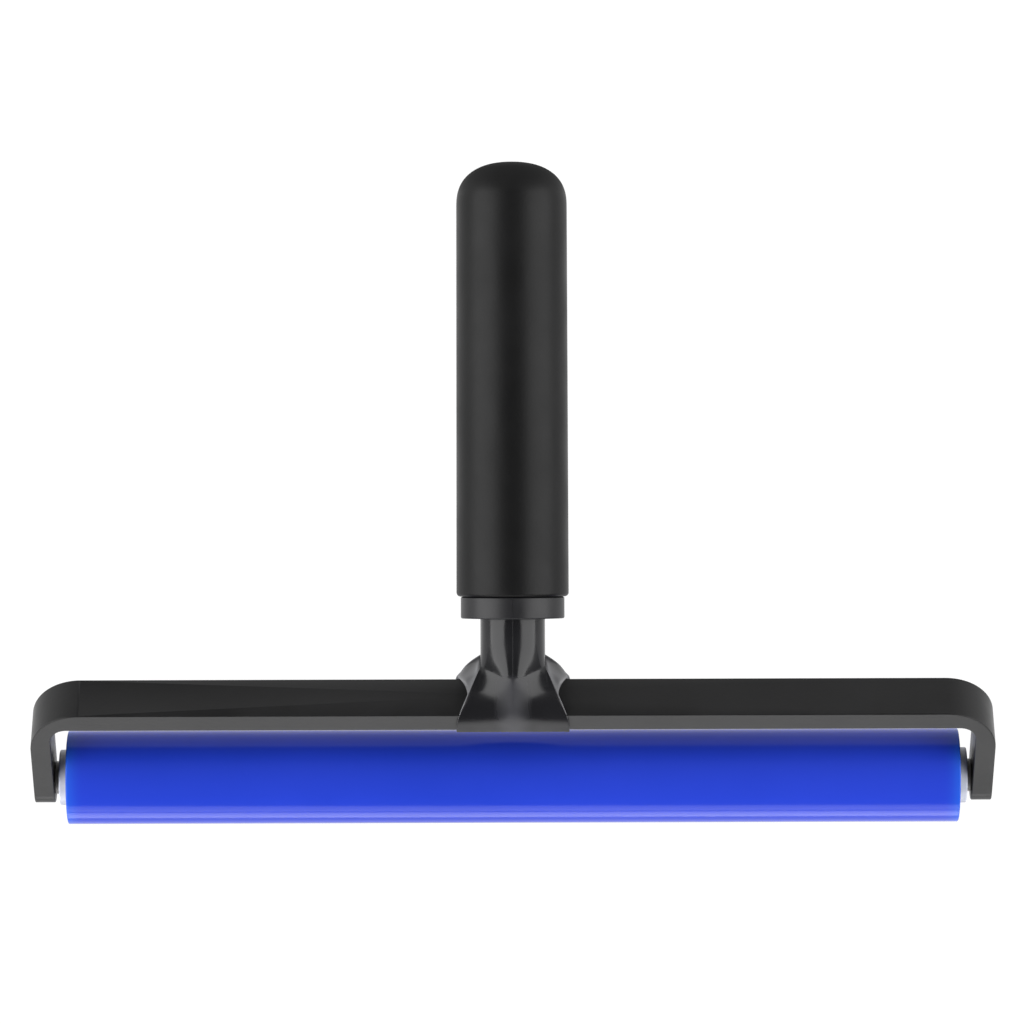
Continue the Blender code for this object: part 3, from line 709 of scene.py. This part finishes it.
def near_rear(forward):
    """1 at the rear edges, falling to 0 at the middle of a side."""
    return max(0, 1 - 2 * forward) ** 2


def post_angle(face, share):
    """Degrees round the post, 0 on the right side and 90 at the front."""
    front, rear = FRONT_EDGE_TURN, REAR_EDGE_TURN
    spans = {
        "right": (rear, front),
        "front": (front, 180 - front),
        "left": (180 - front, 180 - rear),
        "rear": (180 - rear, 360 + rear),
    }
    low, high = spans[face]
    return low + (high - low) * share


def base_point(face, share):
    """(x, across) of the saddle's outline on the bar, corners first and last."""
    deep = SADDLE_HALF_DEPTH
    if face in ("front", "rear"):
        corner = SADDLE_FRONT_X if face == "front" else SADDLE_REAR_X
        sign = 1 if face == "front" else -1
        return corner * (1 - 2 * share) * sign, -deep * sign
    across = deep * (1 - 2 * share)
    if face == "left":
        across = -across
    corner = SADDLE_FRONT_X if across < 0 else SADDLE_REAR_X
    waist = SADDLE_WAIST_X + (corner - SADDLE_WAIST_X) * abs(across / deep) ** SADDLE_WAIST_POWER
    return (waist if face == "right" else -waist), across


def base_height(across):
    """How high over the bar's middle the flare ends, a little higher towards the front."""
    return BAR_HALF_THICKNESS + BAR_GAP + BASE_RISE * max(0, -across / SADDLE_HALF_DEPTH) ** 2


def way_out(face, share, down):
    """How far a point has come out sideways: edges spread early, the sides between them late."""
    front = 1 - (1 - down) ** FRONT_EDGE_POWER
    middle = down ** SIDE_POWER
    rear = 1 - (1 - down) ** REAR_EDGE_POWER
    if face == "front":
        return front
    if face == "rear":
        return down + (rear - down) * abs(2 * share - 1) ** 2
    forward = forward_share(face, share)
    to_front, to_rear = near_front(forward), near_rear(forward)
    return front * to_front + rear * to_rear + middle * (1 - to_front - to_rear)


def edge_forward(down):
    """How far the front edges have come forward; they do it early, so the face flattens low down."""
    return down ** EDGE_FORWARD_POWER


def lean(share):
    """Depth across half a face, 0 along the flat of the ridge and 1 at the edge."""

    def ramp(value):
        return math.hypot(value - RIDGE_SHARE, RIDGE_BLUR) + value - RIDGE_SHARE

    return (ramp(share) - ramp(0)) / (ramp(1) - ramp(0))


def faceted(y, edge_y, ridge_y, share, amount):
    """A depth on the front or rear face moved towards a straight facet from ridge to edge."""
    depth = SCOOP_DEPTH * min(1, abs(ridge_y - edge_y) / POST_RADIUS * SCOOP_GROWTH)
    scoop = math.copysign(depth, -ridge_y) * math.sin(math.pi * lean(share)) ** 2
    facet = ridge_y + (edge_y - ridge_y) * lean(share) + scoop
    return y + (facet - y) * amount


def ridge_rise(x, down):
    """How far the ridge stands out: it widens and rises on the way down, and ends at the foot."""
    widening = min(1, down / RIDGE_WIDE_AT)
    width = RIDGE_WIDTH * (RIDGE_TOP_NARROWING + (1 - RIDGE_TOP_NARROWING) * widening)
    rising = min(1, down / RIDGE_HIGH_AT) ** 2
    ending = 1 - down ** RIDGE_END_POWER
    return RIDGE_RISE * rising * ending * math.exp(-((x / width) ** 2))


def post_point(face, share, pinch):
    """A point round the post, whose front and rear are squeezed just above the saddle."""
    angle = math.radians(post_angle(face, share))
    x, y = POST_RADIUS * math.cos(angle), -POST_RADIUS * math.sin(angle)
    if face in ("front", "rear"):
        edge = math.radians(post_angle(face, 0))
        across = abs(x / (POST_RADIUS * math.cos(edge)))
        y = faceted(y, -POST_RADIUS * math.sin(edge), math.copysign(POST_RADIUS, y), across, pinch)
    return x, y


def saddle_start(face, share):
    """The point on the post where the saddle starts to open, lower at the front."""
    x, y = post_point(face, share, POST_PINCH)
    slope = START_SLOPE_FRONT if y < 0 else START_SLOPE_REAR
    return Vector((x, y, SADDLE_START + slope * y))


def saddle_point(face, share, down):
    """A point of the flared saddle in the handle frame, from the post (0) to the bar (1)."""
    from_bar = Matrix.Rotation(BAR_TILT, 4, "X")
    start = saddle_start(face, share)
    x, across = base_point(face, share)
    base = from_bar @ Vector((x, across, base_height(across)))
    point = start.lerp(base, down)
    point.x = start.x + (base.x - start.x) * way_out(face, share, down)
    if face in ("front", "rear"):
        edge = saddle_start(face, 0)
        forward = edge_forward(down) if face == "front" else down
        edge_x = edge.x + (base_point(face, 0)[0] - edge.x) * way_out(face, 0, down)
        edge_y = edge.y + (base.y - edge.y) * forward
        ridge_y = saddle_start(face, 0.5).y * (1 - down) + base.y * down
        settled = 1 - (1 - down) ** 2
        point.y = faceted(point.y, edge_y, ridge_y, min(1, abs(point.x / edge_x)), settled)
        point.y += math.copysign(ridge_rise(point.x, down), ridge_y)
    else:
        edge = saddle_start("front", 0)
        corner = from_bar @ Vector((0, -SADDLE_HALF_DEPTH, base_height(-SADDLE_HALF_DEPTH)))
        early = edge_forward(down) - down
        point.y += (corner.y - edge.y) * early * near_front(forward_share(face, share))
    return point


def post_rings(keys):
    """Rings of points down the post, from inside the collar to just over the saddle."""
    top = COLLAR_BOTTOM + MM
    rings = []
    for share in POST_SHARES:
        pinch = POST_PINCH * max(0, (share - PINCH_FROM) / (1 - PINCH_FROM)) ** 2
        ring = []
        for face, place in keys:
            x, y = post_point(face, place, pinch)
            ring.append((x, y, top + (saddle_start(face, place).z - top) * share))
        rings.append(np.array(ring))
    return rings


def flare_rings(keys):
    """Rings of points down the flare to the bar, and then down the wall beside the bar."""
    rings = []
    for level in range(SADDLE_LEVELS + 1):
        down = (level / SADDLE_LEVELS) ** LEVEL_POWER
        rings.append(np.array([saddle_point(face, place, down) for face, place in keys]))
    foot = rings[-1]
    down_bar = np.array(Matrix.Rotation(BAR_TILT, 3, "X") @ Vector((0, 0, -1)))
    depths = (foot @ down_bar)[:, None]
    drop = (BAR_HALF_THICKNESS - depths) * down_bar
    aside = np.clip(np.abs(foot[:, 0]) / SADDLE_FRONT_X, 0, 1)
    spread = np.sign(foot[:, 0]) * SADDLE_FOOT_SPREAD * aside ** FOOT_SPREAD_POWER
    for step in range(1, WALL_LEVELS + 1):
        share = step / WALL_LEVELS
        wall = foot + drop * share
        wall[:, 0] += spread * math.sin(math.pi / 2 * share)
        rings.append(wall)
    return rings


def soften(rings, times, weights):
    """Rounds the edges of the rings by averaging neighbours round each ring."""
    for _ in range(times):
        rings = [r + w * (np.roll(r, 1, 0) / 2 + np.roll(r, -1, 0) / 2 - r) for r, w in zip(rings, weights)]
    return rings


def blended(rings, times, weights):
    """Rounds the turn from the flare to the wall by averaging each point along the rings."""
    low = [min(1, max(0, (level - BLEND_FROM) / BLEND_FADE_LEVELS)) for level in range(len(rings))]
    for _ in range(times):
        inside = []
        for level in range(1, len(rings) - 1):
            here = rings[level]
            between = (rings[level - 1] + rings[level + 1]) / 2
            inside.append(here + weights * low[level] * (between - here) / 2)
        rings = [rings[0]] + inside + [rings[-1]]
    return rings


def rounded_flare(flare, keys):
    """The flare with its four edges rounded, and its turn to the wall eased, most at the front."""
    body = soften(flare[1:], ALL_ROUND_PASSES, [PASS_WEIGHT] * len(flare))
    near_edge = np.array([[max(0, 1 - min(place, 1 - place) / EDGE_SHARE)] for _, place in keys])
    over_wall = [max(0, min(1, (SADDLE_LEVELS - level) / EDGE_FADE_LEVELS)) for level in range(1, len(flare))]
    body = soften(body, EDGE_PASSES, [PASS_WEIGHT * near_edge * share for share in over_wall])
    body = blended([flare[0]] + body, WALL_BLEND, 1)
    fronts = np.array([[near_front(forward_share(face, place))] for face, place in keys])
    return blended(body, FRONT_BLEND, fronts)


def raise_seam(rings, keys):
    """Lifts the mould seam, which runs down the middle of the front and the rear."""
    for ring in rings:
        for index, (face, place) in enumerate(keys):
            if face in ("front", "rear") and abs(place - 0.5) < SEAM_TOLERANCE:
                ring[index][1] += SEAM_RISE * (-1 if face == "front" else 1)


def skinned(rings):
    """A closed mesh over rings of points, with one face at each end."""
    shape = bmesh.new()
    rings = [[shape.verts.new(point) for point in ring] for ring in rings]
    for upper, lower in zip(rings, rings[1:]):
        for index in range(len(upper)):
            after = (index + 1) % len(upper)
            shape.faces.new((upper[index], upper[after], lower[after], lower[index]))
    shape.faces.new(rings[0])
    shape.faces.new(rings[-1])
    return finished(shape)


def seam_rib(turn):
    """A fine rib along the mould seam of the collar, at its front (-1) or its rear (1)."""
    outline = [(-SEAM_HALF_WIDTH, -SEAM_ROOT), (0, 2 * SEAM_RISE), (SEAM_HALF_WIDTH, -SEAM_ROOT)]
    low, high = COLLAR_BOTTOM + SEAM_END, COLLAR_TOP - SEAM_END
    points = [(x, turn * (COLLAR_RADIUS + y), low) for x, y in outline]
    return extruded(points, (0, 0, high - low))


def tang_and_collar():
    """The tang inside the grip and the collar under it, turned in one."""
    outline = [
        (0, TANG_TOP),
        (TANG_RADIUS, TANG_TOP),
        (TANG_RADIUS, COLLAR_TOP),
        (COLLAR_RADIUS, COLLAR_TOP),
        (COLLAR_RADIUS, COLLAR_BOTTOM),
        (0, COLLAR_BOTTOM),
    ]
    radii = (0, TANG_EDGE, 0, COLLAR_EDGE, COLLAR_EDGE, 0)
    return turned(rounded(outline, radii, closed=False), HANDLE_STEPS, ring=False)


def bar_slot():
    """The block that leaves room for the bar in the saddle, and its place."""
    slot = bmesh.new()
    depth = BAR_THICKNESS + SLOT_EXTRA_DEPTH
    size = Matrix.Diagonal((SLOT_LENGTH, 2 * BAR_HALF_WIDTH + 2 * BAR_GAP, depth, 1))
    bmesh.ops.create_cube(slot, size=1, matrix=size)
    low = BAR_HALF_THICKNESS + BAR_GAP - depth / 2
    return finished(slot), Matrix.Rotation(BAR_TILT, 4, "X") @ Matrix.Translation((0, 0, low))


def make_neck():
    """Tang and collar, and the post that opens to four edges over the bar, in one piece."""
    keys = saddle_ring_keys()
    rings = post_rings(keys) + rounded_flare(flare_rings(keys), keys)
    raise_seam(rings, keys)
    added = [(mesh, Matrix.Identity(4)) for mesh in (skinned(rings), seam_rib(-1), seam_rib(1))]
    whole = boolean(tang_and_collar(), added, "UNION")
    whole = boolean(whole, [bar_slot()])
    show("neck_fine", whole, HANDLE, "frame", neck_plastic(), ["neck"])


# ---------------------------------------------------------------- frame bar

BEND_INNER_RADIUS = 4.6 * MM
BEND_OUTER_RADIUS = 14 * MM
BEND_INNER_STEPS = 18
BEND_OUTER_STEPS = 32
UNDERSIDE = 0.25 * MM
ARM_END_GAP = 0.005 * MM
ARM_END_STEPS = 40
END_BLOCK_LENGTH = 0.3
BAR_EDGE = 0.3 * MM
BAR_EDGE_ANGLE = math.radians(50)

# Countersunk holes: radius, head radius and head height
AXLE_SCREW_HOLE = (2.15 * MM, 4 * MM, 2.25 * MM)
SADDLE_SCREW_HOLE = (1.6 * MM, 3.25 * MM, 1.75 * MM)
HOLE_LIP = 0.5 * MM
HOLE_DEPTH = BAR_THICKNESS + MM
HOLE_STEPS = 64
SCREW_X = 6.5 * MM
SCREW_BACK = 1 * MM


def countersink(radius, head_radius, head_height):
    """A cutter for a countersunk hole that goes down from its origin."""
    outline = [
        (0, HOLE_LIP),
        (head_radius, HOLE_LIP),
        (head_radius, 0),
        (radius, -head_height),
        (radius, -HOLE_DEPTH),
        (0, -HOLE_DEPTH),
    ]
    return turned(outline, HOLE_STEPS, ring=False)


def screw_holes():
    """Cutters and places of the axle screw holes in the arms and the saddle screw holes under the bar."""
    holes = []
    for _, sign in SIDES:
        outwards = Matrix.Rotation(sign * math.radians(90), 4, "Y")
        holes.append((countersink(*AXLE_SCREW_HOLE), outwards @ Matrix.Translation((0, 0, ARM_OUTER_X))))
        foot = Matrix.Translation((sign * SCREW_X, SCREW_BACK, AXLE_TO_BAR - BAR_HALF_THICKNESS))
        holes.append((countersink(*SADDLE_SCREW_HOLE), foot @ Matrix.Rotation(math.radians(180), 4, "X")))
    return holes


def bent_bar():
    """The flat bar bent to a U, with arms that are still square at their ends."""
    outer, within = BEND_OUTER_RADIUS, BEND_INNER_RADIUS
    foot = -2 * BAR_HALF_WIDTH
    under = BAR_TOP - BAR_THICKNESS - UNDERSIDE
    half = [(ARM_OUTER_X, foot)]
    half += arc((ARM_OUTER_X - outer, BAR_TOP - outer), outer, 0, 90, BEND_OUTER_STEPS)
    inner = arc((ARM_INNER_X - within, under - within), within, 90, 0, BEND_INNER_STEPS)
    inner += [(ARM_INNER_X, foot)]
    outline = half + [(-x, z) for x, z in reversed(half)]
    outline += [(-x, z) for x, z in reversed(inner)] + inner
    return extruded([(x, -BAR_HALF_WIDTH, z) for x, z in outline], (0, 2 * BAR_HALF_WIDTH, 0))


def end_block():
    """A long block round the bar and arms, rounded below as the arms' ends are."""
    radius = BAR_HALF_WIDTH + ARM_END_GAP
    reach = BAR_TOP + MM
    outline = [(-radius, reach)] + arc((0, 0), radius, 180, 360, ARM_END_STEPS) + [(radius, reach)]
    return extruded([(-END_BLOCK_LENGTH / 2, y, z) for y, z in outline], (END_BLOCK_LENGTH, 0, 0))


def make_frame_bar():
    """A flat bar bent to a U, with round arm ends, soft edges and countersunk holes."""
    bar = boolean(bent_bar(), [(end_block(), Matrix.Identity(4))], "INTERSECT")
    bevel = {
        "width": BAR_EDGE,
        "segments": 4,
        "limit_method": "ANGLE",
        "angle_limit": BAR_EDGE_ANGLE,
        "use_clamp_overlap": False,
    }
    bar = applied(bar, ("BEVEL", bevel))
    bar = boolean(bar, screw_holes())
    bar = applied(bar, ("WEIGHTED_NORMAL", {"keep_sharp": True, "weight": 50}))
    show("frame_bar_fine", bar, PLANE, "frame", frame_coating(), ["frame_bar"])


# ---------------------------------------------------------------- roller

# The fine sleeve's radius is this much under the CAD one's, so that it stays inside the CAD box
SLEEVE_SHRINK = 0.01 * MM
SLEEVE_THICKNESS = 3 * MM
SLEEVE_EDGE = 0.4 * MM
SLEEVE_BORE_EDGE = 0.1 * MM
SLEEVE_STEPS = 160

HUB_RADIUS = 7.8 * MM
HUB_HEIGHT = 2.3 * MM
HUB_MOUTH = 5.2 * MM
HUB_EDGE = 0.4 * MM
PLUG_RADIUS = 8.15 * MM
PLUG_DEPTH = 14 * MM
PLUG_SMALL_EDGE = 0.2 * MM
PLUG_STEPS = 96
POCKET_RADIUS = 6.6 * MM
POCKET_COVER = 2.2 * MM

SPACER_RADIUS = 4.6 * MM
SPACER_NOSE_RADIUS = 4 * MM
SPACER_NOSE = 0.6 * MM
SPACER_BORE = 3.1 * MM
SPACER_GAP = 0.1 * MM
SPACER_EDGE = 0.2 * MM
SPACER_NOSE_EDGE = 0.1 * MM
SPACER_STEPS = 64


def sleeve_outline():
    """(radius, along the axle) round the section of the rubber sleeve."""
    radius = ROLLER_RADIUS - SLEEVE_SHRINK
    bore = ROLLER_RADIUS - SLEEVE_THICKNESS
    outline = [(radius, HALF_ROLLER), (radius, -HALF_ROLLER), (bore, -HALF_ROLLER), (bore, HALF_ROLLER)]
    return rounded(outline, (SLEEVE_EDGE, SLEEVE_EDGE, SLEEVE_BORE_EDGE, SLEEVE_BORE_EDGE))


def plug_outline():
    """(radius, along the axle) round the section of an end plug with its hub and bearing pocket."""
    hub_face = HALF_ROLLER + HUB_HEIGHT
    inner_end = HALF_ROLLER - PLUG_DEPTH
    cover = hub_face - POCKET_COVER
    outline = [
        (HUB_MOUTH, hub_face),
        (HUB_RADIUS, hub_face),
        (HUB_RADIUS, HALF_ROLLER),
        (PLUG_RADIUS, HALF_ROLLER),
        (PLUG_RADIUS, inner_end),
        (POCKET_RADIUS, inner_end),
        (POCKET_RADIUS, cover),
        (HUB_MOUTH, cover),
    ]
    return rounded(outline, (PLUG_SMALL_EDGE, HUB_EDGE, 0, 0, PLUG_SMALL_EDGE, 0, 0, 0))


def spacer_outline():
    """(radius, along the axle) round the section of a spacer between hub and arm."""
    tip = ARM_INNER_X - SPACER_GAP
    nose = HALF_ROLLER + SPACER_GAP
    step = nose + SPACER_NOSE
    outline = [
        (SPACER_RADIUS, tip),
        (SPACER_RADIUS, step),
        (SPACER_NOSE_RADIUS, step),
        (SPACER_NOSE_RADIUS, nose),
        (SPACER_BORE, nose),
        (SPACER_BORE, tip),
    ]
    return rounded(outline, (SPACER_EDGE, 0, 0, SPACER_NOSE_EDGE, 0, 0))


def make_roller():
    """The rubber sleeve, and an end plug and an axle spacer on each side."""
    place = PLANE @ Matrix.Rotation(math.radians(90), 4, "Y")
    sleeve = turned(sleeve_outline(), SLEEVE_STEPS, ring=True)
    show("sleeve_fine", sleeve, place, "roller", blue_rubber(), ["roller_sleeve"])
    white, grey = white_plastic(), spacer_plastic()
    for side, _ in SIDES:
        plug = turned(plug_outline(), PLUG_STEPS, ring=True)
        stands_for = [f"end_plug_{side}"]
        show(f"plug_fine_{side}", plug, END[side], "roller", white, stands_for)
        spacer = turned(spacer_outline(), SPACER_STEPS, ring=True)
        stands_for = [f"axle_spacer_{side}"]
        show(f"spacer_fine_{side}", spacer, END[side], "frame", grey, stands_for)


def finish_cad_nodes():
    """Better materials on the CAD nodes that stay."""
    along_axle = {"stretch": (0.2, 1, 1)}
    along_tube = {"stretch": (0.1, 1, 1)}
    steel = metal("axle_steel_fine", (0.4, 0.4, 0.41), (0.55, 0.55, 0.56), (0.25, 0.4), **along_axle)
    bearing = metal("bearing_steel_fine", (0.52, 0.52, 0.53), (0.64, 0.64, 0.65), (0.12, 0.22))
    brass = metal("cage_brass_fine", (0.5, 0.34, 0.12), (0.64, 0.45, 0.18), (0.28, 0.42))
    alloy = metal("core_aluminium_fine", (0.6, 0.6, 0.61), (0.74, 0.74, 0.75), (0.3, 0.45), **along_tube)
    plated = metal("screw_steel_fine", (0.08, 0.08, 0.085), (0.13, 0.13, 0.135), (0.3, 0.45))
    finishes = {
        "axle_steel": steel,
        "bearing_steel": bearing,
        "cage_brass": brass,
        "core_aluminium": alloy,
        "screw_steel": plated,
    }
    slots = {part["node"]: part["material_slot"] for part in RECORD["subparts"]}
    for node, obj in frame["nodes"].items():
        if slots[node] in finishes:
            obj.data.materials.clear()
            obj.data.materials.append(finishes[slots[node]])


make_camera()
make_lights()
make_floor()
make_sky()
make_grip()
make_neck()
make_frame_bar()
make_roller()
finish_cad_nodes()

bpy.context.view_layer.update()
